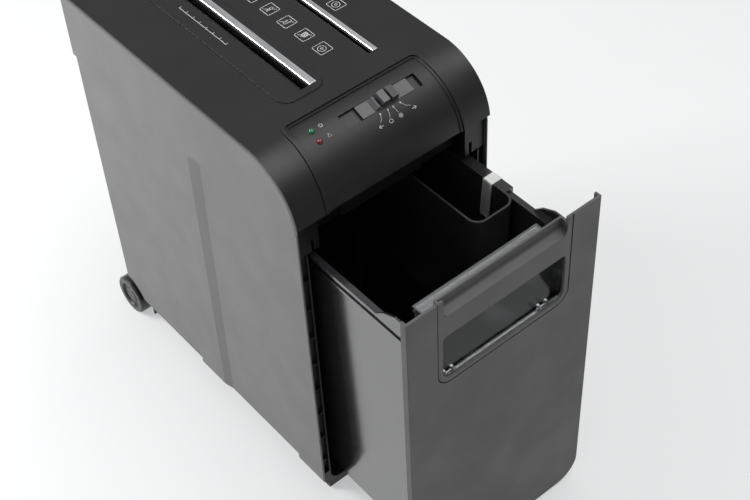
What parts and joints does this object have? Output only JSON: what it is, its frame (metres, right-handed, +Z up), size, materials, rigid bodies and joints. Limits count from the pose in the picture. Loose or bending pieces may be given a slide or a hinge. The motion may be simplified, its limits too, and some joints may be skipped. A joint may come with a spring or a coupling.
{
  "type": "paper shredder",
  "caption": "Deskside paper shredder with a curved cover, control slider, paper and disc slots, and a bin that slides out at the front on a full-height panel",
  "frame": {"origin": "centre of the overall box at floor level, with the bin drawn out 127 mm", "axes": "+X to the right seen from the front, -Y towards the front where the bin slides out, +Z up"},
  "size_m": [0.21, 0.5016, 0.4396],
  "materials": {
    "black_shell": "fine matt",
    "side_grey": "satin",
    "cover_black": "fine texture",
    "satin_silver": "satin brushed",
    "green_lens": "clear gloss",
    "red_lens": "clear gloss",
    "zinc_steel": "zinc plated",
    "board_green": "solder mask",
    "bronze": "sintered",
    "gear_nylon": "natural nylon",
    "motor_paint": "satin",
    "rubber_black": "matt",
    "bin_black": "gloss",
    "door_grey": "fine texture",
    "clear_plastic": "clear moulded",
    "clip_metal": "galvanised",
    "slider_grey": "satin",
    "wheel_black": "satin",
    "tyre_black": "semi gloss",
    "cutter_steel": "oiled",
    "gear_steel": "sintered, greased"
  },
  "bodies": {
    "cabinet": {"cabinet_shell": "black_shell", "right_side_panel": "side_grey", "left_side_panel": "side_grey", "back_panel": "black_shell", "back_panel_screws": "zinc_steel", "top_cover": "cover_black", "inlet_plate": "cover_black", "paper_slot_trim": "satin_silver", "cd_slot_trim": "satin_silver", "control_fascia": "cover_black", "power_led": "green_lens", "overheat_led": "red_lens", "mode_switch": "black_shell", "control_board": "board_green", "front_frame": "black_shell", "head_deck": "black_shell", "paper_chute": "black_shell", "cd_chute": "black_shell", "front_bearing_plate": "zinc_steel", "rear_bearing_plate": "zinc_steel", "cd_rear_plate": "zinc_steel", "cutter_bushes": "bronze", "tie_rods": "zinc_steel", "left_stripper_comb": "gear_nylon", "right_stripper_comb": "gear_nylon", "motor_body": "motor_paint", "thermal_cutout": "black_shell", "bin_switch": "black_shell", "paper_sensor": "black_shell", "power_inlet": "black_shell", "idler_pin": "zinc_steel", "rear_axle": "zinc_steel", "axle_brackets": "black_shell", "front_feet": "black_shell", "foot_pads": "rubber_black", "bin_runners": "gear_nylon"},
    "bin": {"bin_body": "bin_black", "bin_front_panel": "door_grey", "handle_insert": "door_grey", "window_tray": "clear_plastic", "cd_bin": "bin_black", "cd_bin_clip": "clip_metal"},
    "mode_slider": {"mode_slider": "slider_grey"},
    "left_wheel": {"left_wheel_hub": "wheel_black", "left_tyre": "tyre_black"},
    "right_wheel": {"right_wheel_hub": "wheel_black", "right_tyre": "tyre_black"},
    "right_cutter": {"right_cutter": "cutter_steel", "right_sync_gear": "gear_steel", "cutter_drive_gear": "gear_steel", "cd_transfer_gear": "gear_nylon"},
    "left_cutter": {"left_cutter": "cutter_steel", "left_sync_gear": "gear_steel"},
    "reduction_gear": {"reduction_gear": "gear_steel"},
    "motor_rotor": {"motor_shaft": "cutter_steel"},
    "cd_left_cutter": {"cd_left_cutter": "cutter_steel", "cd_driven_gear": "gear_nylon", "cd_left_sync_gear": "gear_steel"},
    "cd_right_cutter": {"cd_right_cutter": "cutter_steel", "cd_right_sync_gear": "gear_steel"}
  },
  "joints": [
    {"name": "bin_slide", "type": "slide", "parent": "cabinet", "child": "bin", "axis": [0, -1, 0], "range_m": [-0.127, 0.16]},
    {"name": "mode_slide", "type": "slide", "parent": "cabinet", "child": "mode_slider", "axis": [1, 0, 0], "range_m": [-0.014, 0.0076]},
    {"name": "left_wheel_spin", "type": "hinge", "parent": "cabinet", "child": "left_wheel", "pos_m": [-0.098, 0.22825, 0.0225], "axis": [1, 0, 0], "continuous": true},
    {"name": "right_wheel_spin", "type": "hinge", "parent": "cabinet", "child": "right_wheel", "pos_m": [0.098, 0.22825, 0.0225], "axis": [1, 0, 0], "continuous": true},
    {"name": "right_cutter_spin", "type": "hinge", "parent": "cabinet", "child": "right_cutter", "pos_m": [-0.00675, 0.08325, 0.378], "axis": [0, 1, 0], "continuous": true},
    {"name": "left_cutter_spin", "type": "hinge", "parent": "cabinet", "child": "left_cutter", "pos_m": [-0.03685, 0.08325, 0.378], "axis": [0, 1, 0], "continuous": true},
    {"name": "reduction_gear_spin", "type": "hinge", "parent": "cabinet", "child": "reduction_gear", "pos_m": [0.03056, 0.08325, 0.39402], "axis": [0, 1, 0], "continuous": true},
    {"name": "motor_spin", "type": "hinge", "parent": "cabinet", "child": "motor_rotor", "pos_m": [0.06, 0.08325, 0.384], "axis": [0, 1, 0], "continuous": true},
    {"name": "cd_left_cutter_spin", "type": "hinge", "parent": "cabinet", "child": "cd_left_cutter", "pos_m": [0.0346, 0.08325, 0.378], "axis": [0, 1, 0], "continuous": true},
    {"name": "cd_right_cutter_spin", "type": "hinge", "parent": "cabinet", "child": "cd_right_cutter", "pos_m": [0.0587, 0.08325, 0.378], "axis": [0, 1, 0], "continuous": true}
  ],
  "couplings": [
    {"joint": "left_cutter_spin", "follows": "right_cutter_spin", "ratio": -1},
    {"joint": "reduction_gear_spin", "follows": "right_cutter_spin", "ratio": -2},
    {"joint": "motor_spin", "follows": "right_cutter_spin", "ratio": 4.8889},
    {"joint": "cd_left_cutter_spin", "follows": "right_cutter_spin", "ratio": -1.2},
    {"joint": "cd_right_cutter_spin", "follows": "right_cutter_spin", "ratio": 1.2}
  ]
}
